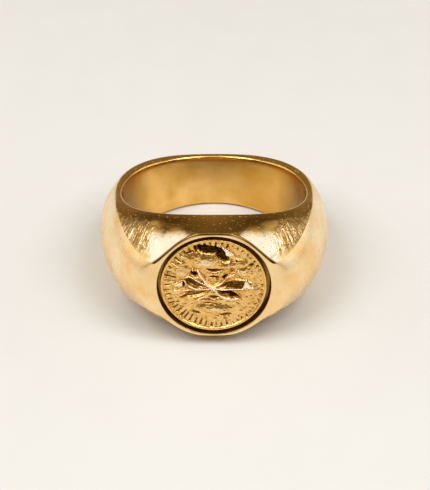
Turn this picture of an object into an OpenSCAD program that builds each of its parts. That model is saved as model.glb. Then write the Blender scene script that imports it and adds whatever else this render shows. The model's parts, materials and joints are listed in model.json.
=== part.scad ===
// Signet ring with a round struck medallion, lying on its side.
//
// The finger hole's axis is the ring's own +Z, and the flat table that carries the
// medallion faces the ring's own -Y. The whole ring is then leaned back by rest_tilt,
// so that it rests on the front of its lower rim and on two points behind. The origin
// is the centre of the finger hole.

/* [Finger hole] */
// Inside diameter of the ring
bore_d = 19; // [16.5:0.1:21.5]

/* [Rim: half of the ring's width along the finger] */
// Half-width at the head, in front
rim_front = 6.45; // [6.2:0.05:7]
// Half-width at the two sides
rim_side = 4; // [3.6:0.05:4.6]
// Half-width at the back of the shank
rim_back = 2.95; // [2.4:0.05:3.4]
// How strongly the widening gathers towards the head
rim_gather = 0.21; // [0:0.01:0.3]

/* [Wall] */
// Distance from the hole's wall to the flat table
table_rise = 3.1; // [2.8:0.05:3.4]
// Thickness at the sides, at mid-height
side_wall = 2.3; // [1.9:0.05:2.8]
// Thickness at the back, at mid-height
back_wall = 1.6; // [1.2:0.05:2.2]
// Thickness of the rim at the sides and back, between the hole and the outer edge
rim_wall = 0.65; // [0.5:0.05:0.9]
// How fast the outside curves away from its widest line: 2 is round, more is fuller
crown_power = 2; // [1.8:0.05:2.6]

/* [Shoulders] */
// How far the shoulders would reach forward if the table didn't cut them off
shoulder_reach = 14.6; // [14.4:0.1:15.4]
// How full the ring looks from above: 2 is an ellipse, more is squarer
plan_power = 2.25; // [2.1:0.05:2.5]
// Fall of the upper face over the head's middle, if it ran out to the shoulders' reach
head_drop = 1.25; // [0.8:0.05:1.6]
// Fall of the upper face to the corner where the table meets the shoulder
corner_drop = 3.55; // [3:0.05:3.8]
// The same fall of the lower face over the head's middle
lower_head_drop = 1.45; // [0.8:0.05:1.6]
// The same fall of the lower face to the table's lower corners, which are fuller
lower_corner_drop = 3; // [2.6:0.05:3.8]
// How late both faces fall: 1 is a straight slope, more is flat first, then steep
fall_power = 1.8; // [1.4:0.05:2.2]
// How softly the table rolls over into the shoulders, at mid-height
table_roll = 0.9; // [0.3:0.05:1]
// What is left of that roll at the table's two upper corners
corner_roll = 0.1; // [0.05:0.05:0.3]

/* [Medallion] */
// Diameter of the round recess in the table
seat_d = 11.2; // [10.8:0.05:11.3]
// Depth of the recess
seat_depth = 0.95; // [0.9:0.05:1.2]
// Width of the open groove round the medallion
groove_w = 0.4; // [0.2:0.02:0.5]
// Thickness of the solder under the medallion
solder_t = 0.1; // [0.05:0.01:0.2]
// Depth of the medallion's field below the table
field_drop = 0.18; // [0.1:0.01:0.3]
// Height of the medallion's relief above its field
relief_h = 0.3; // [0.15:0.01:0.35]

/* [Hidden] */

gold = [0.86, 0.62, 0.22];
dark_gold = [0.72, 0.5, 0.17];
solder_grey = [0.62, 0.6, 0.55];

bore_r = bore_d / 2;
table_y = bore_r + table_rise;
seat_r = seat_d / 2;
medal_r = seat_r - groove_w;
medal_t = seat_depth - solder_t - field_drop;

// The medallion sits a little up and to the left in its recess
medal_shift = [-0.04, 0.05];

upper_falls = [head_drop, corner_drop];
lower_falls = [lower_head_drop, lower_corner_drop];

// Angles from the front of the ring between which a face's fall builds up,
// and between which it dies away along the shoulder
fall_rise = [6, 24];
fall_fade = [18, 72];

// The swept sections: how many round the ring, how many steps across the crown, and
// where the upper face has points between the hole (0) and its outer edge (1)
sections = 144;
crown_steps = 14;
face_stations = [0.05, 0.35, 0.7];
cut = 1;
relief_root = 0.1;
round_fn = 96;

// Smooth step from 0 at lo to 1 at hi
function ramp(a, lo, hi) = let (t = min(1, max(0, (a - lo) / (hi - lo)))) t * t * (3 - 2 * t);

// Angle from the front, folded onto one half of the ring
function fold(a) = a > 180 ? 360 - a : a;

// Half-width of the rim at an angle from the front: a cosine series through the
// front, side and back widths
function rim_z(a) =
    let (even = ((rim_front + rim_back) / 2 - rim_side) / 2,
         odd = (rim_front - rim_back) / 2 - rim_gather)
    rim_side + even + odd * cos(a) + even * cos(2 * a) + rim_gather * cos(3 * a);

// Radius of an outline seen along the finger: half-width, reach in front, reach behind
function plan_r(a, half, front, back) =
    let (across = abs(sin(a)) / half, along = abs(cos(a)) / (cos(a) > 0 ? front : back))
    pow(pow(across, plan_power) + pow(along, plan_power), -1 / plan_power);

// Smaller of two radii, with the corner between them rolled over
function soft_min(p, q, roll) = min(p, q) - roll / 4 * pow(max(0, 1 - abs(p - q) / roll), 2);

// Radius at which a section meets the table, and none behind the shoulders
function table_r(a) = cos(a) > 0.5 ? table_y / cos(a) : 10 * table_y;

// Radius of the crown: t is 0 on the widest line, and 1 and -1 on the two outer edges
function widest_r(a) = plan_r(a, bore_r + side_wall, shoulder_reach, bore_r + back_wall);
function free_edge_r(a) = plan_r(a, bore_r + rim_wall, shoulder_reach, bore_r + rim_wall);
function crown_r(a, t) =
    let (wide = widest_r(a),
         edge = free_edge_r(a),
         roll = table_roll + (corner_roll - table_roll) * pow(max(0, t), 4))
    soft_min(wide - (wide - edge) * pow(abs(t), crown_power), table_r(a), roll);

// How far a face is from mid-height, at a distance from the hole's axis. falls holds the
// fall over the head's middle and the fall to the table's corners.
function face_drop(a, falls) =
    (falls[0] + (falls[1] - falls[0]) * ramp(fold(a), fall_rise[0], fall_rise[1]))
    * (1 - ramp(fold(a), fall_fade[0], fall_fade[1]));
function face_z(a, r, falls) =
    rim_z(a) - face_drop(a, falls) * pow(max(0, r - bore_r) / (free_edge_r(a) - bore_r), fall_power);

// Points on a face from the hole towards its outer edge, as [radius, height]
function face_points(a, edge, falls) =
    [for (u = face_stations) let (r = bore_r + u * (edge - bore_r)) [r, face_z(a, r, falls)]];

// One section through the wall, as [radius, height]: up one face, across the crown and
// back along the other face. The part inside the hole is cut away by the true bore.
function section(a) =
    let (top_edge = crown_r(a, 1),
         low_edge = crown_r(a, -1),
         top_z = face_z(a, top_edge, upper_falls),
         low_z = face_z(a, low_edge, lower_falls),
         top = face_points(a, top_edge, upper_falls),
         low = face_points(a, low_edge, lower_falls),
         last = len(face_stations) - 1)
    concat([[bore_r - cut, -rim_z(a)]],
           [for (p = low) [p[0], -p[1]]],
           [for (i = [0 : crown_steps]) let (t = 2 * i / crown_steps - 1)
               [crown_r(a, t), t * (t < 0 ? low_z : top_z)]],
           [for (i = [last : -1 : 0]) top[i]],
           [[bore_r - cut, rim_z(a)]]);
function around(a, p) = [p[0] * sin(a), -p[0] * cos(a), p[1]];

// The ring leans on the front of its lower rim, and tips back until the first point
// behind touches the same flat surface
rest_tilt = atan(min([for (a = [90 : 3 : 270])
    let (edge = crown_r(a, -1))
    (rim_front - face_z(a, edge, lower_falls)) / (bore_r - edge * cos(a))]));

module lying() {
    rotate([-rest_tilt, 0, 0]) children();
}

// Places a drawing on the table: its X across the ring, its Y up, its Z outwards
module on_table(depth = 0) {
    translate([0, -table_y, 0]) rotate([90, 0, 0]) translate([0, 0, -depth]) children();
}

module on_medal() {
    on_table(field_drop) translate([medal_shift[0], medal_shift[1], 0]) children();
}

// The shank, shoulders and head as one swept skin, still without its hole and recess
module swept_wall() {
    count = len(section(0));
    points = [for (i = [0 : sections - 1]) let (a = 360 * i / sections)
        for (p = section(a)) around(a, p)];
    faces = [for (i = [0 : sections - 1]) for (j = [0 : count - 1]) for (half = [0, 1])
        let (here = i * count, next = ((i + 1) % sections) * count, k = (j + 1) % count)
        half == 0 ? [here + j, here + k, next + k] : [here + j, next + k, next + j]];
    polyhedron(points, faces, convexity = 4);
}

module ring_body() {
    color(gold) lying() difference() {
        swept_wall();
        cylinder(h = 40, r = bore_r, center = true, $fn = round_fn);
        on_table(seat_depth) cylinder(h = 5, r = seat_r, $fn = round_fn);
    }
}

module solder_bed() {
    color(solder_grey) lying() on_table(seat_depth)
        translate([medal_shift[0], medal_shift[1], 0])
        cylinder(h = solder_t, r = medal_r - 0.15, $fn = round_fn);
}

// A long leaf with two pointed ends, lying along X from the origin
module leaf(length, width, height) {
    bow_r = (length * length / 4 + width * width / 4) / width;
    translate([length / 2, 0, 0]) intersection() {
        translate([0, bow_r - width / 2, 0]) cylinder(h = height, r = bow_r, $fn = round_fn);
        translate([0, width / 2 - bow_r, 0]) cylinder(h = height, r = bow_r, $fn = round_fn);
    }
}

// A low round boss, cut from a ball that reaches a little below the field
module boss(radius, height) {
    ball_r = (radius * radius + height * height) / (2 * height);
    intersection() {
        translate([0, 0, height - ball_r]) sphere(r = ball_r, $fn = round_fn);
        translate([0, 0, -relief_root]) cylinder(h = 1, r = 1.5 * radius, $fn = round_fn);
    }
}

// A flat bar with round ends, centred on the origin
module bar(length, width, height) {
    translate([-length / 2, -width / 2, 0]) cube([length, width, height]);
    for (side = [-1, 1])
        translate([side * length / 2, 0, 0]) cylinder(h = height, r = width / 2, $fn = 32);
}

module medallion() {
    edge_w = 0.24;
    strokes = 44;
    stroke_w = 0.2;
    stroke_in = medal_r - 1.15;
    stroke_out = medal_r - 0.42;
    crossing = [0, -0.45];
    knot_r = 0.42;
    // Each leaf: direction, length and width
    leaves = [[2, 3.7, 0.75], [176, 3.9, 0.8], [148, 2.9, 0.6], [203, 3.1, 0.7], [-27, 2.9, 0.7]];
    // Each bar: place across and up, length, width, and height as a share of the relief
    bars = [[0.3, 0.95, 2.2, 0.3, 0.6], [0, -1.75, 1.2, 0.26, 0.6], [0, -2.75, 2.2, 0.8, 0.7]];

    color(dark_gold) lying() on_medal() {
        translate([0, 0, -medal_t]) cylinder(h = medal_t, r = medal_r, $fn = round_fn);
        // Raised edge of the disc
        translate([0, 0, -relief_root]) difference() {
            cylinder(h = relief_root + field_drop, r = medal_r, $fn = round_fn);
            translate([0, 0, -1]) cylinder(h = 3, r = medal_r - edge_w, $fn = round_fn);
        }
        // Relief, rooted a little below the field
        translate([0, 0, -relief_root]) {
            for (i = [0 : strokes - 1])
                rotate(360 * (i + 0.5) / strokes)
                    translate([stroke_in, -stroke_w / 2, 0])
                    cube([stroke_out - stroke_in, stroke_w, relief_root + 0.5 * relief_h]);
            translate([crossing[0], crossing[1], 0]) {
                for (l = leaves)
                    rotate(l[0]) translate([knot_r / 3, 0, 0])
                        leaf(l[1], l[2], relief_root + 0.8 * relief_h);
                cylinder(h = relief_root + 0.9 * relief_h, r = knot_r, $fn = round_fn);
            }
            for (b = bars)
                translate([b[0], b[1], 0]) bar(b[2], b[3], relief_root + b[4] * relief_h);
        }
        translate([-0.4, 2.6, 0]) boss(1.3, relief_h);
    }
}

ring_body();
medallion();
solder_bed();
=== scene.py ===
"""A gold signet ring with a struck round medallion, lying on its side on a pale table."""

import json
import math

import bpy
import numpy as np
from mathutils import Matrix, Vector


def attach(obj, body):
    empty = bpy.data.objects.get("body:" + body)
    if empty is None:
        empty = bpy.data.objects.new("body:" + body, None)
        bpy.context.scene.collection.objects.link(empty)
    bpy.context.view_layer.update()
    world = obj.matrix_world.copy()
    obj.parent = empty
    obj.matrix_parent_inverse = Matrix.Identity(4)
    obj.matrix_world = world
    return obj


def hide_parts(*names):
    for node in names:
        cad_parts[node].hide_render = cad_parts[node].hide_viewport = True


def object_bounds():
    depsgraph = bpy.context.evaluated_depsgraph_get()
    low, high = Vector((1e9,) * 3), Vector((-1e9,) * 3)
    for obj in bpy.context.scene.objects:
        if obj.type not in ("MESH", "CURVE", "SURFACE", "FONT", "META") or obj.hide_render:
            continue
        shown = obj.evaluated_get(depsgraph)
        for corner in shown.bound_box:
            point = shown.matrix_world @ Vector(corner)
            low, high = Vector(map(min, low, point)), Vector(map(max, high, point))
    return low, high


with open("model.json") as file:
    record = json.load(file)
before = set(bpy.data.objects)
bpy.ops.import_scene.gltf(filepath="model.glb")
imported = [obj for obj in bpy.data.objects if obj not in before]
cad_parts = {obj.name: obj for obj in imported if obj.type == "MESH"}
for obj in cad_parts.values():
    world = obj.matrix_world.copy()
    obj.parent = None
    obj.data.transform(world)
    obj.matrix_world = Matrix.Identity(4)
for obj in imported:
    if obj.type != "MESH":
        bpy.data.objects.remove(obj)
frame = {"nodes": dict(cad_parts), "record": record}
cad_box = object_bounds()

# ---------------------------------------------------------------- design sizes
# The ring's own frame has the finger hole along +Z and the table facing -Y. Its sizes are
# in millimetres and repeat the CAD model's driving sizes; the scene itself is in metres.
MM = 0.001
FINGER_BORE = frame["record"]["mounts"][0]
BORE_R = FINGER_BORE["dims"]["r_mm"]
REST_TILT = math.atan2(FINGER_BORE["axis"][1], FINGER_BORE["axis"][2])

RIM_FRONT, RIM_SIDE, RIM_BACK, RIM_GATHER = 6.45, 4.0, 2.95, 0.21
TABLE_Y = BORE_R + 3.1
SIDE_WALL, BACK_WALL, RIM_WALL = 2.3, 1.6, 0.65
CROWN_POWER, SHOULDER_REACH, PLAN_POWER = 2.0, 14.6, 2.25
UPPER_FALLS, LOWER_FALLS, FALL_POWER = (1.25, 3.55), (1.45, 3.0), 1.8
FALL_RISE, FALL_FADE = (6, 24), (18, 72)
TABLE_ROLL, CORNER_ROLL = 0.9, 0.1
MOUTH_ROUND, EDGE_ROUND = 0.28, 0.2

SEAT_R, SEAT_DEPTH, GROOVE_W, SOLDER_T = 5.6, 0.95, 0.4, 0.1
FIELD_DROP, RELIEF_H = 0.18, 0.3
MEDAL_R = SEAT_R - GROOVE_W
MEDAL_T = SEAT_DEPTH - SOLDER_T - FIELD_DROP
MEDAL_SHIFT = (-0.04, 0.05)

# Roundings of the recess's mouth and the medallion's corners, and how far the skin wanders
RECESS_ROUND, MEDAL_ROUND, MEDAL_EDGE_W = 0.1, 0.06, 0.2
WIDE_WAVE, SHORT_WAVE = 0.018, 0.006

# How finely the skins are swept
SECTIONS = 600
BORE_STEPS, FACE_STEPS, CROWN_STEPS, ROUND_STEPS = 6, 20, 24, 4
MEDAL_RINGS, MEDAL_TURNS, RECESS_TURNS = 118, 640, 256
SMOOTH_BELOW = math.radians(38)


# ---------------------------------------------------------------- helpers
def lay_down(points):
    """Points in the ring's own frame, in millimetres, as scene points in metres."""
    x, y, z = np.asarray(points, float).T
    c, s = math.cos(REST_TILT), math.sin(REST_TILT)
    return np.column_stack((x, y * c + z * s, z * c - y * s)) * MM


def ramp(value, low, high):
    """Smooth step from 0 at low to 1 at high."""
    t = np.clip((value - low) / (high - low), 0, 1)
    return t * t * (3 - 2 * t)


def smooth_noise(points, cell, seed):
    """Smooth random values from -1 to 1 that change over about one cell."""
    size = 32
    lattice = np.random.default_rng(seed).uniform(-1, 1, (size, size, size))
    place = points / cell + 1000.0
    corner = np.floor(place).astype(int)
    part = place - corner
    part = part * part * (3 - 2 * part)
    total = np.zeros(len(points))
    for step in np.ndindex(2, 2, 2):
        weight = np.prod(np.where(step, part, 1 - part), axis=1)
        i, j, k = ((corner + step) % size).T
        total += weight * lattice[i, j, k]
    return total


def make_mesh(name, points, faces, materials, slots=None):
    """A smooth-shaded mesh object from points and faces, linked to the scene."""
    mesh = bpy.data.meshes.new(name)
    mesh.from_pydata(points, [], faces)
    for material in materials:
        mesh.materials.append(material)
    if slots is not None:
        mesh.polygons.foreach_set("material_index", slots)
    mesh.shade_smooth()
    piece = bpy.data.objects.new(name, mesh)
    bpy.context.scene.collection.objects.link(piece)
    return piece


# ---------------------------------------------------------------- ring shape
def rim_height(a):
    """Half of the ring's width at an angle from the front."""
    even = ((RIM_FRONT + RIM_BACK) / 2 - RIM_SIDE) / 2
    odd = (RIM_FRONT - RIM_BACK) / 2 - RIM_GATHER
    return RIM_SIDE + even + odd * np.cos(a) + even * np.cos(2 * a) + RIM_GATHER * np.cos(3 * a)


def plan_radius(a, half, front, back):
    """Outline seen along the finger, from its half-width and its reach in front and behind."""
    across = np.abs(np.sin(a)) / half
    along = np.abs(np.cos(a)) / np.where(np.cos(a) > 0, front, back)
    return (across**PLAN_POWER + along**PLAN_POWER) ** (-1 / PLAN_POWER)


def free_edge_radius(a):
    """Radius of the face's outer edge, before the table cuts it off."""
    return plan_radius(a, BORE_R + RIM_WALL, SHOULDER_REACH, BORE_R + RIM_WALL)


def crown_radius(a, t):
    """Radius across the crown: t is 0 on its widest line, 1 and -1 on its two edges."""
    wide = plan_radius(a, BORE_R + SIDE_WALL, SHOULDER_REACH, BORE_R + BACK_WALL)
    free = wide - (wide - free_edge_radius(a)) * np.abs(t) ** CROWN_POWER
    table = np.where(np.cos(a) > 0.5, TABLE_Y / np.maximum(np.cos(a), 0.5), 10 * TABLE_Y)
    roll = TABLE_ROLL + (CORNER_ROLL - TABLE_ROLL) * np.maximum(t, 0) ** 4
    overlap = np.maximum(0, 1 - np.abs(free - table) / roll)
    return np.minimum(free, table) - roll / 4 * overlap**2


def face_height(a, r, side=1):
    """How far the upper (1) or lower (-1) face is from mid-height, at a distance from the
    finger hole's axis."""
    folded = np.degrees(np.pi - np.abs(np.pi - a))
    at_head, at_corner = UPPER_FALLS if side > 0 else LOWER_FALLS
    fall = (at_head + (at_corner - at_head) * ramp(folded, *FALL_RISE)) * (1 - ramp(folded, *FALL_FADE))
    reach = np.maximum(0, r - BORE_R) / (free_edge_radius(a) - BORE_R)
    return rim_height(a) - fall * reach**FALL_POWER


ZONES = ("bore", "face", "crown")


def half_outline(a, side):
    """The upper (1) or lower (-1) half of a section, from mid-bore to mid-crown, as (radius,
    height from mid-height, zone)."""
    edge = crown_radius(a, side)
    edge_z = face_height(a, edge, side)
    rim = rim_height(a)
    outline = []
    for k in range(BORE_STEPS + 1):
        outline.append((BORE_R + 0 * a, (rim - MOUTH_ROUND) * k / BORE_STEPS, "bore"))
    for k in range(1, ROUND_STEPS + 1):
        turn = math.pi / 2 * k / ROUND_STEPS
        r = BORE_R + MOUTH_ROUND * (1 - math.cos(turn)) + 0 * a
        outline.append((r, face_height(a, r, side) - MOUTH_ROUND * (1 - math.sin(turn)), "face"))
    face_start, face_end = BORE_R + MOUTH_ROUND, edge - EDGE_ROUND
    for k in range(1, FACE_STEPS + 1):
        r = face_start + (face_end - face_start) * k / FACE_STEPS
        outline.append((r, face_height(a, r, side), "face"))
    crown_slope = (edge - crown_radius(a, 0.98 * side)) / 0.02
    crown_start = 1 - EDGE_ROUND / np.hypot(crown_slope, edge_z)
    # The rounding is a curve from the face to the crown that leans towards the sharp corner
    face_end_z = face_height(a, face_end, side)
    crown_r, crown_z = crown_radius(a, side * crown_start), crown_start * edge_z
    for k in range(1, ROUND_STEPS + 1):
        s = k / ROUND_STEPS
        first, middle, last = (1 - s) ** 2, 2 * s * (1 - s), s * s
        r = first * face_end + middle * edge + last * crown_r
        z = first * face_end_z + middle * edge_z + last * crown_z
        outline.append((r, z, "face" if k < ROUND_STEPS else "crown"))
    for k in range(1, CROWN_STEPS + 1):
        t = crown_start * (1 - k / CROWN_STEPS)
        outline.append((crown_radius(a, side * t), t * edge_z, "crown"))
    return outline


def build_ring(materials):
    """The whole casting as one closed swept skin, with its recess cut in."""
    a = np.arange(SECTIONS) * 2 * math.pi / SECTIONS
    upper = half_outline(a, 1)
    lower = [(r, -z, zone) for r, z, zone in half_outline(a, -1)[1:-1]][::-1]
    loop = upper + lower
    # A face between two stations takes the zone of the station further from the bore
    zones = [s[2] for s in upper[1:]] + [s[2] for s in upper[1:]][::-1]
    radius = np.stack([s[0] for s in loop], axis=1)
    height = np.stack([s[1] for s in loop], axis=1)
    points = np.stack((radius * np.sin(a)[:, None], -radius * np.cos(a)[:, None], height), axis=2)
    count = len(loop)
    i, j = np.meshgrid(np.arange(SECTIONS), np.arange(count), indexing="ij")
    i_next, j_next = (i + 1) % SECTIONS, (j + 1) % count
    corners = (i * count + j, i * count + j_next, i_next * count + j_next, i_next * count + j)
    faces = np.stack(corners, axis=2).reshape(-1, 4)
    slots = np.tile([ZONES.index(z) for z in zones], SECTIONS)
    flat = points.reshape(-1, 3)
    ring = make_mesh("ring_casting", lay_down(flat), faces.tolist(), materials, slots.tolist())
    roughen_by_hand(ring, flat)
    cut_recess(ring, materials)
    return ring


def roughen_by_hand(ring, flat):
    """A hand-finished surface is never quite even: moves it by a few hundredths of a millimetre."""
    count = len(flat)
    normals = np.empty(count * 3, np.float32)
    ring.data.vertices.foreach_get("normal", normals)
    normals = normals.reshape(-1, 3)
    away_from_bore = ramp(np.hypot(flat[:, 0], flat[:, 1]), BORE_R + 0.1, BORE_R + 0.6)
    off_table = ramp(flat[:, 1] + TABLE_Y, 0.0, 0.5)
    wave = WIDE_WAVE * smooth_noise(flat, 3.1, 11) + SHORT_WAVE * smooth_noise(flat, 1.1, 12)
    places = lay_down(flat) + normals * (wave * away_from_bore * off_table)[:, None] * MM
    ring.data.vertices.foreach_set("co", places.astype(np.float32).ravel())
    ring.data.update()


def turned_solid(name, rows, materials, slots, shift=(0, 0)):
    """A closed solid turned about the table's axis, from rows of (radius, heights over the
    table) that run from the top outwards and down, with one material slot for each row;
    heights may change round a row."""
    turns = len(rows[0][1])
    turn = np.arange(turns) * 2 * math.pi / turns
    blocks = [[(0, float(np.mean(rows[0][1])), 0)]]
    for radius, heights in rows:
        blocks.append(np.column_stack((radius * np.cos(turn), heights, radius * np.sin(turn))))
    blocks.append([(0, float(np.mean(rows[-1][1])), 0)])
    across, out, up = np.concatenate(blocks).T
    last = len(across) - 1
    faces = []
    for k in range(turns):
        k_next = (k + 1) % turns
        faces.append((0, 1 + k, 1 + k_next))
        for row in range(len(rows) - 1):
            low, high = 1 + row * turns, 1 + (row + 1) * turns
            faces.append((low + k, high + k, high + k_next, low + k_next))
        low = 1 + (len(rows) - 1) * turns
        faces.append((low + k, last, low + k_next))
    own = np.column_stack((across + shift[0], -TABLE_Y - out, up + shift[1]))
    return make_mesh(name, lay_down(own), faces, materials, [slots[0], *slots] * turns)


def cut_recess(ring, materials):
    """Cuts the medallion's seat, with a slightly rounded mouth."""
    floor_round, over_table, lip = 0.08, 0.01, math.radians(66)
    level = np.ones(RECESS_TURNS)
    rows = [(SEAT_R + RECESS_ROUND, level)]
    for k in range(ROUND_STEPS, -1, -1):
        bend = lip * k / ROUND_STEPS
        r = SEAT_R + RECESS_ROUND * (1 - math.cos(bend))
        rows.append((r, level * (over_table - RECESS_ROUND * (1 - math.sin(bend)))))
    rows.append((SEAT_R, level * (floor_round - SEAT_DEPTH)))
    rows.append((SEAT_R - floor_round, level * -SEAT_DEPTH))
    cutter = turned_solid("recess_cutter", rows, materials, [len(materials) - 1] * len(rows))
    cut = ring.modifiers.new("recess", "BOOLEAN")
    cut.operation = "DIFFERENCE"
    cut.solver = "EXACT"
    cut.object = cutter
    bpy.context.view_layer.update()
    solid = ring.evaluated_get(bpy.context.evaluated_depsgraph_get())
    mesh = bpy.data.meshes.new_from_object(solid)
    ring.modifiers.clear()
    ring.data = mesh
    mesh.name = "ring_casting"
    bpy.data.objects.remove(cutter)
    bpy.context.view_layer.objects.active = ring
    ring.select_set(True)
    bpy.ops.object.shade_smooth_by_angle(angle=SMOOTH_BELOW)
    ring.select_set(False)


# ---------------------------------------------------------------- medallion relief
def distance_to_segment(u, v, start, end):
    du, dv = end[0] - start[0], end[1] - start[1]
    along = np.clip(((u - start[0]) * du + (v - start[1]) * dv) / (du * du + dv * dv), 0, 1)
    return np.hypot(u - start[0] - along * du, v - start[1] - along * dv)


def distance_to_curve(u, v, start, bend, end, steps=14):
    """Distance to a curve that leaves start, leans towards bend and arrives at end."""
    place = []
    for s in np.linspace(0, 1, steps):
        first, middle, last = (1 - s) ** 2, 2 * s * (1 - s), s * s
        place.append([first * p + middle * q + last * r for p, q, r in zip(start, bend, end)])
    return np.min([distance_to_segment(u, v, p, q) for p, q in zip(place, place[1:])], axis=0)


def oval(u, v, centre, half_length, half_width, turn=0):
    """0 at an oval's centre and 1 on its edge."""
    c, s = math.cos(math.radians(turn)), math.sin(math.radians(turn))
    x, y = u - centre[0], v - centre[1]
    return np.hypot((x * c + y * s) / half_length, (y * c - x * s) / half_width)


def raised(h, top, blend):
    """The higher of two surfaces, with the corner between them filled."""
    return np.maximum(h, top) + blend / 4 * np.maximum(0, 1 - np.abs(h - top) / blend) ** 2


def depth_inside(u, v, corners):
    """Distance from the nearest side of a counter-clockwise triangle, positive inside it."""
    sides = []
    for start, end in zip(corners, corners[1:] + corners[:1]):
        du, dv = end[0] - start[0], end[1] - start[1]
        sides.append((du * (v - start[1]) - dv * (u - start[0])) / math.hypot(du, dv))
    return np.min(sides, axis=0)


def leaf(u, v, root, tip, width):
    """How far a point lies from a pointed leaf's midrib, and half the leaf's width there."""
    du, dv = tip[0] - root[0], tip[1] - root[1]
    length = math.hypot(du, dv)
    along = ((u - root[0]) * du + (v - root[1]) * dv) / length**2
    across = np.abs((v - root[1]) * du - (u - root[0]) * dv) / length
    half = width / 2 * np.sin(math.pi * np.clip(along, 0, 1)) ** 0.8
    return across, np.where(half > 0.02, half, -0.2)


# The ornament is laid out in millimetres across and up from the medallion's middle
CROSSING = (0.0, -0.3)
# Leaves: tip, width, how deep they are dished
LEAVES = (
    ((-3.0, 0.75), 1.25, 0.2),
    ((3.9, 0.15), 1.35, 0.18),
    ((-3.3, -1.35), 0.95, 0.12),
    ((2.75, -1.45), 0.85, 0.3),
)
# Stems: start, bend, end, half-width, height
STEMS = (
    ((-1.6, 1.7), (-1.15, 0.55), CROSSING, 0.22, 0.3),
    ((-2.5, 1.1), (-1.3, 0.5), CROSSING, 0.13, 0.24),
    ((-2.85, 0.5), (-2.3, -0.65), CROSSING, 0.15, 0.28),
    ((1.9, 1.35), (0.9, 0.55), CROSSING, 0.15, 0.27),
    ((-3.8, -0.5), (-1.6, -0.45), CROSSING, 0.12, 0.22),
    (CROSSING, (0.9, -1.65), (2.4, -1.5), 0.17, 0.3),
    (CROSSING, (2.0, -0.5), (3.9, -0.25), 0.14, 0.26),
    (CROSSING, (-0.7, -1.1), (-1.7, -1.7), 0.15, 0.24),
)
# Lobes: centre, half-length, half-width, turn in degrees, height
LOBES = (
    ((-1.0, 2.7), 1.8, 0.95, -8, 0.22),
    ((1.9, 2.3), 1.7, 0.45, 6, 0.2),
    ((-3.2, 1.8), 0.95, 1.15, 20, 0.23),
    ((3.0, 1.45), 1.0, 0.8, -20, 0.22),
    ((0.1, -2.75), 2.1, 0.6, 0, 0.2),
    ((0.1, 1.3), 0.8, 0.3, 0, 0.12),
    ((0.0, -1.0), 0.7, 0.25, 0, 0.1),
    ((-0.1, -1.75), 1.3, 0.22, 0, 0.12),
)
# Flat facets, as three corners each, counter-clockwise
FACETS = (
    ((0.5, 4.75), (1.2, 3.4), (2.35, 3.45)),
    ((2.1, 3.4), (2.3, 2.95), (3.15, 2.75)),
    ((3.2, 0.85), (2.75, -0.3), (4.05, -0.4)),
    ((-3.1, 0.65), (-4.0, -0.1), (-3.05, -0.1)),
    ((2.25, 1.95), (2.1, 1.45), (2.8, 1.3)),
    ((-2.1, 2.0), (-2.3, 1.7), (-1.7, 1.6)),
)
# Hollows: centre, half-length, half-width, turn in degrees, depth
HOLLOWS = (
    ((-0.45, 4.05), 1.7, 0.55, -7, 0.34),
    ((0.85, 3.3), 1.0, 0.55, -42, 0.32),
    ((-3.05, 0.05), 0.25, 0.4, 0, 0.26),
    ((0.1, 1.75), 1.1, 0.24, 0, 0.22),
    ((0.0, 0.9), 0.65, 0.2, 0, 0.2),
    ((1.15, 1.05), 0.4, 0.22, 30, 0.24),
    ((-1.9, 1.3), 0.5, 0.28, -45, 0.24),
    ((0.05, -1.35), 0.8, 0.2, 0, 0.2),
    ((-0.6, -2.05), 0.55, 0.12, 2, 0.16),
    ((1.1, -3.35), 0.75, 0.16, 10, 0.18),
    ((-1.7, -3.1), 0.5, 0.16, -25, 0.18),
    ((2.4, 2.75), 0.45, 0.16, 0, 0.2),
    ((3.6, 2.3), 0.4, 0.2, 35, 0.2),
    ((-2.3, 3.75), 0.6, 0.16, 20, 0.16),
)


def add_border(h, u, v):
    """Tapered cuts that point at the centre all round, worn down to pits on the right."""
    dice = np.random.default_rng(5)
    cuts = 54
    outer = MEDAL_R - 0.45
    for k in range(cuts):
        turn = 2 * math.pi * (k + dice.uniform(-0.12, 0.12)) / cuts
        worn_away = math.cos(turn) > 0.35
        length = 0.08 if worn_away else 0.7 + 0.25 * math.sin(5 * turn) + dice.uniform(-0.2, 0.15)
        along = (u * math.cos(turn) + v * math.sin(turn) - outer) / length + 1
        ends = [(r * math.cos(turn), r * math.sin(turn)) for r in (outer - length, outer)]
        half = 0.07 + dice.uniform(0.03, 0.12) * np.clip(along, 0, 1)
        h = h - dice.uniform(0.1, 0.2) * np.maximum(0, 1 - distance_to_segment(u, v, *ends) / half)
    return h


def add_leaves(h, u, v, worn):
    """Pointed leaves with a sharp border and a dished inside, each on its own low mound."""
    border_h, mound_slope = 0.2, 1.6
    for tip, width, dish in LEAVES:
        across, half = leaf(u, v, CROSSING, tip, width)
        edge = np.where(half > 0, across / np.maximum(half, 0.02), 2)
        inside = border_h * edge**3 - dish * (1 - edge**2) + 0.6 * worn
        outside = raised(h, border_h - mound_slope * (across - half), 0.04)
        h = np.where(edge < 1, inside, np.where(half > 0, outside, h))
    return h


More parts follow.
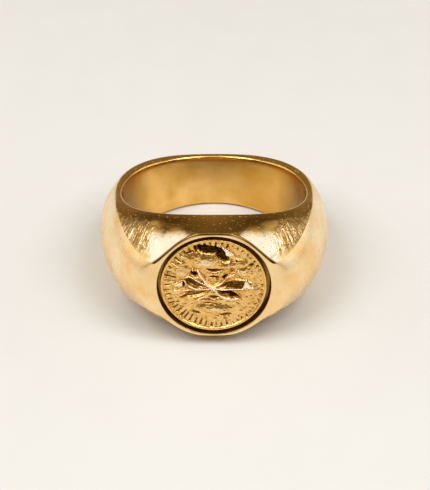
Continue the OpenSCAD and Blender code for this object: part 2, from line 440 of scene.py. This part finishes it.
def relief(u, v):
    """Height of the medallion's face over its field, in millimetres."""
    flat = np.column_stack((u, v, 0 * u))
    r = np.hypot(u, v)
    worn = 0.03 * smooth_noise(flat, 0.6, 21)
    worn = worn + 0.03 * smooth_noise(flat, 0.25, 22) + 0.018 * smooth_noise(flat, 0.13, 23)
    # Hand-cut shapes are never quite true
    inner = ramp(r, MEDAL_R, MEDAL_R - 1.5)
    u = u + inner * (0.1 * smooth_noise(flat, 0.8, 24) + 0.03 * smooth_noise(flat, 0.3, 25))
    v = v + inner * (0.1 * smooth_noise(flat, 0.8, 26) + 0.03 * smooth_noise(flat, 0.3, 27))
    h = worn.copy()
    for centre, length, width, turn, height in LOBES:
        h = raised(h, height * (1 - oval(u, v, centre, length, width, turn) ** 2) + worn, 0.08)
    for centre, length, width, turn, depth in HOLLOWS:
        h = h - depth * ramp(1 - oval(u, v, centre, length, width, turn), 0.0, 0.6)
    h = add_leaves(h, u, v, worn)
    for corners in FACETS:
        h = raised(h, 3 * depth_inside(u, v, corners), 0.02)
    for start, bend, end, half, height in STEMS:
        ridge = 1.4 * height * (1 - distance_to_curve(u, v, start, bend, end) / half)
        h = raised(h, ridge, 0.02)
    h = add_border(h, u, v)
    # Narrow raised edge, nearly level with the table
    edge_h = 0.16
    slope_end = MEDAL_R - MEDAL_EDGE_W
    slope_start = slope_end - 0.1
    h = np.where(r > slope_start, np.maximum(h, edge_h * ramp(r, slope_start, slope_end)), h)
    return np.minimum(h, RELIEF_H)


def build_medallion(face, side):
    """A closed disc whose top carries the relief."""
    corner = MEDAL_ROUND
    turn = np.arange(MEDAL_TURNS) * 2 * math.pi / MEDAL_TURNS
    rows = []
    for k in range(1, MEDAL_RINGS + 1):
        r = (MEDAL_R - corner) * k / MEDAL_RINGS
        rows.append((r, relief(r * np.cos(turn), r * np.sin(turn))))
    rim = rows[-1][1]
    for k in range(1, ROUND_STEPS + 1):
        bend = math.pi / 2 * k / ROUND_STEPS
        rows.append((MEDAL_R - corner * (1 - math.sin(bend)), rim - corner * (1 - math.cos(bend))))
    rows.append((MEDAL_R, corner - MEDAL_T + 0 * turn))
    rows.append((MEDAL_R - corner, -MEDAL_T + 0 * turn))
    rows = [(r, h - FIELD_DROP) for r, h in rows]
    slots = [0 if k < MEDAL_RINGS + ROUND_STEPS - 1 else 1 for k in range(len(rows))]
    return turned_solid("struck_medallion", rows, [face, side], slots, MEDAL_SHIFT)


# ---------------------------------------------------------------- materials
class Nodes:
    """Shortens the making and joining of shader nodes."""

    def __init__(self, name):
        self.material = bpy.data.materials.new(name)
        self.material.use_nodes = True
        self.tree = self.material.node_tree
        self.shader = self.tree.nodes["Principled BSDF"]

    def add(self, kind, settings=None, **inputs):
        node = self.tree.nodes.new(kind)
        for key, value in (settings or {}).items():
            setattr(node, key, value)
        for key, value in inputs.items():
            self.put(node, key.replace("_", " "), value)
        return node

    def put(self, node, socket, value):
        """Links a socket to this input, or sets the input to a plain value."""
        place = node.inputs[int(socket)] if socket.isdigit() else node.inputs[socket]
        if isinstance(value, bpy.types.NodeSocket):
            self.tree.links.new(value, place)
        else:
            place.default_value = value

    def math(self, operation, *values):
        """The result of one Math node; each value is a number or a socket."""
        node = self.add("ShaderNodeMath", {"operation": operation})
        for k, value in enumerate(values):
            self.put(node, str(k), value)
        return node.outputs[0]

    def own_place(self):
        """The point in the ring's own frame: hole along Z, table facing -Y."""
        place = self.add("ShaderNodeTexCoord").outputs["Object"]
        kind = {"vector_type": "POINT"}
        turned = self.add("ShaderNodeMapping", kind, Vector=place, Rotation=(REST_TILT, 0, 0))
        return turned.outputs[0]

    def noise(self, place, size_mm, detail=2.0, stretch=(1, 1, 1), turn=(0, 0, 0)):
        """Noise whose spots are about size_mm across, drawn out by stretch."""
        scale = tuple(1 / (size_mm * MM * s) for s in stretch)
        kind = {"vector_type": "POINT"}
        moved = self.add("ShaderNodeMapping", kind, Vector=place, Scale=scale, Rotation=turn)
        node = self.add("ShaderNodeTexNoise", Vector=moved.outputs[0], Scale=1.0, Detail=detail)
        return node.outputs["Fac"]

    def spread(self, value, from_low, from_high, to_low, to_high):
        """Maps one range of values onto another, and holds it there."""
        node = self.add("ShaderNodeMapRange", {"clamp": True}, Value=value)
        node.inputs["From Min"].default_value = from_low
        node.inputs["From Max"].default_value = from_high
        node.inputs["To Min"].default_value = to_low
        node.inputs["To Max"].default_value = to_high
        return node.outputs[0]

    def spread_mm(self, value, low, high, to_low=0, to_high=1):
        """The same for a distance, between two distances in millimetres."""
        return self.spread(value, low * MM, high * MM, to_low, to_high)

    def product(self, first, *others):
        """All of these values multiplied together."""
        for other in others:
            first = self.math("MULTIPLY", first, other)
        return first

    def mix_colour(self, factor, first, second):
        """The first colour where factor is 0 and the second where it is 1."""
        node = self.add("ShaderNodeMix", {"data_type": "RGBA"})
        self.put(node, "0", factor)
        for socket, value in ((6, first), (7, second)):
            if isinstance(value, tuple):
                node.inputs[socket].default_value = value
            else:
                self.tree.links.new(value, node.inputs[socket])
        return node.outputs[2]

    def bump(self, height, depth_mm, before=None):
        """A normal bent by a height from 0 to 1, on top of the normal before it."""
        node = self.add("ShaderNodeBump", Height=height, Strength=1.0, Distance=depth_mm * MM)
        if before is not None:
            self.tree.links.new(before, node.inputs["Normal"])
        return node.outputs[0]


GOLD_LIGHT = (1.0, 0.79, 0.48, 1)
GOLD_DEEP = (0.95, 0.62, 0.26, 1)
GOLD_FIELD = (0.88, 0.52, 0.16, 1)
GOLD_BROWN = (0.9, 0.58, 0.16, 1)
# Painted highlight for the upper face's corners and the medallion's high points
GOLD_HIGHLIGHT_PALE = (1.0, 0.89, 0.7, 1)
GOLD_BORE_LIGHT = (1.0, 0.64, 0.22, 1)
GOLD_BORE_DEEP = (0.8, 0.46, 0.1, 1)
# Painted shade for the hole's right side and its two ends
GOLD_BORE_RIGHT_SHADE = (0.7, 0.37, 0.06, 1)
GOLD_BORE_SIDE_SHADE = (0.3, 0.17, 0.025, 1)
# Painted shade for the deep brown band along the hole
GOLD_SHADE_BROWN = (0.3, 0.16, 0.035, 1)
GOLD_STRUCK = (0.93, 0.6, 0.22, 1)
GOLD_TARNISH = (0.72, 0.42, 0.11, 1)
# Dark filing marks, and painted shade in the recess and the medallion's hollows
GOLD_ROUGH_AND_SHADE = (0.33, 0.175, 0.03, 1)
# Painted shade for the recess
GOLD_GROOVE_SHADE = (0.55, 0.33, 0.08, 1)
# Painted shade for the thin line along the table's edge
GOLD_EDGE_SHADE = (0.24, 0.13, 0.03, 1)
# Painted shade for the medallion's deepest hollows
GOLD_SHADE_BLACK = (0.05, 0.022, 0.004, 1)
SOLDER_GREY = (0.5, 0.48, 0.44, 1)
SOLDER_DARK = (0.25, 0.23, 0.2, 1)
PAPER_LIGHT = (0.83, 0.84, 0.84, 1)
PAPER_SHADE = (0.8, 0.81, 0.81, 1)


def polishing_scratches(n, place, depth_mm):
    """Fine hairlines in three directions."""
    normal = None
    for turn, size in (((0.3, 0.2, 0.4), 0.035), ((0.1, 0.9, 1.3), 0.045), ((1.1, 0.4, 2.3), 0.04)):
        lines = n.noise(place, size, 1.0, (1, 1, 40), turn)
        marks = n.spread(lines, 0.52, 0.72, 0, 1)
        normal = n.bump(marks, depth_mm, normal)
    return normal


def satin_gold(name, light, deep, rough_low, rough_high, scratch_mm, grain_mm):
    """Worn gold plate: uneven sheen, soft stains, hairlines and a fine grain."""
    n = Nodes(name)
    place = n.own_place()
    cloud = n.noise(place, 3.0, 3.0)
    colour = n.mix_colour(n.spread(cloud, 0.35, 0.65, 0, 1), light, deep)
    patches = n.noise(place, 0.7, 4.0)
    n.put(n.shader, "Base Color", colour)
    n.put(n.shader, "Metallic", 1.0)
    n.put(n.shader, "Roughness", n.spread(patches, 0.3, 0.7, rough_low, rough_high))
    normal = polishing_scratches(n, place, scratch_mm)
    normal = n.bump(n.noise(place, 0.06, 2.0), grain_mm, normal)
    n.put(n.shader, "Normal", normal)
    return n


class FaceMasks:
    """Where things lie on the upper and lower faces, as values from 0 to 1."""

    def __init__(self, n, place):
        x, y, z = n.add("ShaderNodeSeparateXYZ", Vector=place).outputs
        front = n.math("MULTIPLY", y, -1.0)
        aside, aloft = n.math("ABSOLUTE", x), n.math("ABSOLUTE", z)
        turn = n.math("ARCTAN2", x, front)
        radius = n.math("SQRT", n.math("ADD", n.math("MULTIPLY", x, x), n.math("MULTIPLY", y, y)))
        along = n.math("MULTIPLY", turn, 12 * MM)
        self.unrolled = n.add("ShaderNodeCombineXYZ", X=along, Y=radius, Z=z).outputs[0]

        # The shoulders are filed rough, and the limits of that wander a little
        wander = n.math("MULTIPLY_ADD", n.noise(place, 0.7, 4.0), 3.6 * MM, -1.8 * MM)
        outwards = n.spread_mm(n.math("ADD", aside, wander), 5.9, 6.9)
        off_rim = n.spread_mm(n.math("ADD", radius, wander), BORE_R + 1.1, BORE_R + 2.1)
        shoulder_end = n.spread(n.math("ABSOLUTE", turn), 0.95, 1.2, 1, 0)
        over_corner = n.spread_mm(aloft, 2.8, 3.4)
        self.rough = n.product(outwards, off_rim, shoulder_end, over_corner)

        # A painted highlight makes the upper face's corner facet pale; it starts on a slanting line
        # across it
        slant = n.math("MULTIPLY_ADD", aside, 0.56, -(TABLE_Y + 1.0) * MM)
        self.past_line = n.math("ADD", front, slant)
        uneven = n.math("ADD", self.past_line, n.math("MULTIPLY", wander, 0.25))
        not_rough = n.math("SUBTRACT", 1.0, outwards)
        self.pale = n.product(n.spread_mm(uneven, -0.4, 0.35), not_rough, n.spread_mm(z, 0, 1))

        # Before that line a painted shade makes the brown deepest, and a painted shade lies along the
        # table's edge
        shade_start = n.spread_mm(self.past_line, -3.4, -1.6)
        shade_end = n.spread_mm(self.past_line, -0.5, 0.1, 1, 0)
        clouds = n.spread(n.noise(self.unrolled, 0.9, 3.0, (5, 1, 1)), 0.35, 0.55, 0.6, 1)
        beside_middle = n.spread_mm(aside, 1, 3.5, 0.6, 1)
        self.sooty = n.product(shade_start, shade_end, clouds, beside_middle)
        # Painted shade: a thin dark line along the table's edge
        self.at_table = n.spread_mm(front, TABLE_Y - 0.24, TABLE_Y - 0.14)


def face_colour(n, place, masks):
    stain = n.spread(n.noise(place, 1.6, 3.0), 0.35, 0.65, 0, 1)
    marks = n.noise(masks.unrolled, 0.13, 2.0, (1, 18, 18))
    grain = n.math("MULTIPLY", n.noise(place, 0.16, 3.0), 0.4)
    specks = n.spread(n.math("MULTIPLY_ADD", marks, 0.6, grain), 0.49, 0.6, 1, 0)
    filed = n.mix_colour(specks, GOLD_LIGHT, GOLD_ROUGH_AND_SHADE)
    # Painted shade: the filed marks turn deep brown before the slanting line
    filed = n.mix_colour(n.spread_mm(masks.past_line, -1.7, -0.5, 0.85, 0), filed, GOLD_SHADE_BROWN)
    colour = n.mix_colour(stain, GOLD_FIELD, GOLD_BROWN)
    # Painted shade: the deep brown band along the hole
    colour = n.mix_colour(masks.sooty, colour, GOLD_SHADE_BROWN)
    # Painted highlight: pale gold on the upper face's corner facets
    colour = n.mix_colour(masks.pale, colour, GOLD_HIGHLIGHT_PALE)
    colour = n.mix_colour(masks.rough, colour, filed)
    # Painted shade along the table's edge
    return n.mix_colour(masks.at_table, colour, GOLD_EDGE_SHADE)


def face_marks(n, place, masks):
    """Fine polishing lines, coarse file marks and grain on the shoulders, and a few pits."""
    polish = n.noise(masks.unrolled, 0.07, 2.0, (40, 1, 6))
    filing = n.spread(n.noise(masks.unrolled, 0.13, 2.0, (1, 22, 22)), 0.35, 0.65, 0, 1)
    pits = n.spread(n.noise(place, 0.22, 1.0), 0.68, 0.76, 0, 1)
    normal = n.bump(polish, 0.003)
    normal = n.bump(n.product(filing, masks.rough), 0.05, normal)
    normal = n.bump(n.product(n.noise(place, 0.15, 2.0), masks.rough), 0.03, normal)
    return n.bump(pits, 0.03, normal)


def filed_gold():
    """The upper and lower faces: brown with painted shade along the hole, filed rough over the
    shoulders, and pale with a painted highlight where the upper face falls to the table's corners."""
    n = Nodes("filed_gold")
    place = n.own_place()
    masks = FaceMasks(n, place)
    n.put(n.shader, "Base Color", face_colour(n, place, masks))
    n.put(n.shader, "Metallic", 1.0)
    n.put(n.shader, "Roughness", n.spread(n.noise(place, 0.5, 3.0), 0.3, 0.7, 0.14, 0.24))
    n.put(n.shader, "Normal", face_marks(n, place, masks))
    return n.material


def bore_gold():
    """The finger hole: smooth, with painted shade a little deeper in colour on the right and brown at
    both sides.
    """
    n = satin_gold("polished_gold", GOLD_BORE_LIGHT, GOLD_BORE_DEEP, 0.14, 0.22, 0.0015, 0.001)
    x = n.add("ShaderNodeSeparateXYZ", Vector=n.own_place()).outputs[0]
    # Painted shade: brown at both sides of the hole
    side_shade = n.spread_mm(n.math("ABSOLUTE", x), 6.8, 8.8)
    clean = n.shader.inputs["Base Color"].links[0].from_socket
    # Painted shade: a little deeper in colour towards the right
    colour = n.mix_colour(n.spread_mm(x, 0.5, 4, 0, 0.6), clean, GOLD_BORE_RIGHT_SHADE)
    n.put(n.shader, "Base Color", n.mix_colour(side_shade, colour, GOLD_BORE_SIDE_SHADE))
    return n.material


def struck_gold():
    """The medallion: pale with a painted highlight on the high points, and brown and then black with
    painted shade in the hollows.
    """
    n = satin_gold("struck_gold", GOLD_STRUCK, GOLD_FIELD, 0.12, 0.26, 0.001, 0.006)
    place = n.own_place()
    out = n.math("MULTIPLY", n.add("ShaderNodeSeparateXYZ", Vector=place).outputs[1], -1.0)
    height = n.math("SUBTRACT", out, (TABLE_Y - FIELD_DROP) * MM)
    centred = n.math("SUBTRACT", height, 0.05 * MM)
    uneven = n.math("MULTIPLY_ADD", n.noise(place, 0.3, 3.0), 0.1 * MM, centred)
    tarnish = n.spread(n.noise(place, 0.35, 5.0), 0.48, 0.64, 0, 0.8)
    colour = n.shader.inputs["Base Color"].links[0].from_socket
    colour = n.mix_colour(tarnish, colour, GOLD_TARNISH)
    # Painted highlight: pale gold on the highest points of the relief
    colour = n.mix_colour(n.spread_mm(uneven, 0.18, 0.27), colour, GOLD_HIGHLIGHT_PALE)
    # Painted shade: brown in the hollows
    colour = n.mix_colour(n.spread_mm(uneven, -0.08, -0.02, 1, 0), colour, GOLD_ROUGH_AND_SHADE)
    # Painted shade: black in the deepest hollows
    colour = n.mix_colour(n.spread_mm(uneven, -0.24, -0.12, 1, 0), colour, GOLD_SHADE_BLACK)
    n.put(n.shader, "Base Color", colour)
    smooth = n.shader.inputs["Normal"].links[0].from_socket
    n.put(n.shader, "Normal", n.bump(n.noise(place, 0.2, 3.0), 0.05, smooth))
    return n.material


def groove_gold():
    """The recess: unpolished, and dark with painted shade."""
    return satin_gold("groove_gold", GOLD_GROOVE_SHADE, GOLD_ROUGH_AND_SHADE, 0.35, 0.5, 0.002, 0.012).material


def dull_solder():
    """Dull grey solder, lumpy where it set."""
    n = Nodes("dull_solder")
    place = n.own_place()
    n.put(n.shader, "Base Color", n.mix_colour(n.noise(place, 0.5, 3.0), SOLDER_GREY, SOLDER_DARK))
    n.put(n.shader, "Metallic", 1.0)
    n.put(n.shader, "Roughness", n.spread(n.noise(place, 0.2), 0.3, 0.7, 0.45, 0.7))
    n.put(n.shader, "Normal", n.bump(n.noise(place, 0.15), 0.02))
    return n.material


def pale_paper():
    """The floor: a sheet of nearly white paper."""
    n = Nodes("pale_paper")
    place = n.add("ShaderNodeTexCoord").outputs["Object"]
    n.put(n.shader, "Base Color", n.mix_colour(n.noise(place, 30.0), PAPER_LIGHT, PAPER_SHADE))
    n.put(n.shader, "Roughness", n.spread(n.noise(place, 4.0), 0.3, 0.7, 0.6, 0.8))
    return n.material


# ---------------------------------------------------------------- stage
def aim(thing, place, target):
    thing.location = place
    direction = Vector(np.subtract(target, place).tolist())
    thing.rotation_mode = "QUATERNION"
    thing.rotation_quaternion = direction.to_track_quat("-Z", "Y")


def from_angles(centre, azimuth, elevation, distance):
    a, e = math.radians(azimuth), math.radians(elevation)
    return (centre[0] + distance * math.sin(a) * math.cos(e),
            centre[1] - distance * math.cos(a) * math.cos(e),
            centre[2] + distance * math.sin(e))


# The camera looks down at the ring's table from the front, through a long lens
LENS_MM, CAMERA_DISTANCE = 114.9, 0.160
CAMERA_OVER_RING = 30.47
AIM_POINT = (0.1, -4.58, 0)
# Softboxes: name, angle from the front, elevation, distance, width, height, power
SOFTBOXES = (
    ("left", -100, 22, 0.4, 0.42, 0.29, 0.33),
    ("right", 100, 22, 0.4, 0.42, 0.29, 0.33),
    ("front_left", -60, 55, 0.35, 0.2, 0.2, 0.5),
    ("front_right", 60, 55, 0.35, 0.2, 0.2, 0.5),
    ("overhead", 0, 90, 0.35, 0.35, 0.15, 0.25),
)
FLOOR_HALF = 0.7
# The room is warm and dim where the ring mirrors it, with a pale backdrop behind the floor
ROOM_LIGHT = (0.22, 0.16, 0.085, 1)
BACKDROP = (0.8, 0.77, 0.72, 1)


def make_camera():
    data = bpy.data.cameras.new("camera")
    data.lens = LENS_MM
    data.clip_start, data.clip_end = 0.01, 10
    camera = bpy.data.objects.new("camera", data)
    bpy.context.scene.collection.objects.link(camera)
    target = lay_down([AIM_POINT])[0]
    elevation = CAMERA_OVER_RING + math.degrees(REST_TILT)
    aim(camera, from_angles(target, 0, elevation, CAMERA_DISTANCE), target)
    bpy.context.scene.camera = camera


def softbox(name, azimuth, elevation, distance, width, height, power):
    data = bpy.data.lights.new(name, "AREA")
    data.shape = "RECTANGLE"
    data.size, data.size_y = width, height
    data.energy = power
    light = bpy.data.objects.new(name, data)
    bpy.context.scene.collection.objects.link(light)
    aim(light, from_angles((0, 0, 0), azimuth, elevation, distance), (0, 0, 0))


def make_floor():
    low, side = cad_box[0][2], FLOOR_HALF
    corners = [(-side, -side, low), (side, -side, low), (side, side, low), (-side, side, low)]
    floor = make_mesh("floor", corners, [(0, 1, 2, 3)], [pale_paper()])


def make_room():
    world = bpy.data.worlds.new("room")
    world.use_nodes = True
    nodes, links = world.node_tree.nodes, world.node_tree.links
    seen = nodes.new("ShaderNodeLightPath").outputs["Is Camera Ray"]
    mix = nodes.new("ShaderNodeMix")
    mix.data_type = "RGBA"
    mix.inputs[6].default_value = ROOM_LIGHT
    mix.inputs[7].default_value = BACKDROP
    links.new(seen, mix.inputs[0])
    links.new(mix.outputs[2], nodes["Background"].inputs["Color"])
    nodes["Background"].inputs["Strength"].default_value = 1.0
    bpy.context.scene.world = world
    bpy.context.scene.view_settings.view_transform = "Standard"


# ---------------------------------------------------------------- the object
polished = bore_gold()
satin = satin_gold("satin_gold", GOLD_LIGHT, GOLD_DEEP, 0.22, 0.3, 0.0012, 0.0008).material
in_groove = groove_gold()
ring = build_ring([polished, filed_gold(), satin, in_groove])
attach(ring, "root")
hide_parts("ring_body")

medallion = build_medallion(struck_gold(), in_groove)
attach(medallion, "root")
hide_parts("medallion")

solder_bed = frame["nodes"]["solder_bed"]
solder_bed.data.materials.clear()
solder_bed.data.materials.append(dull_solder())

make_camera()
make_floor()
for light in SOFTBOXES:
    softbox(*light)
make_room()
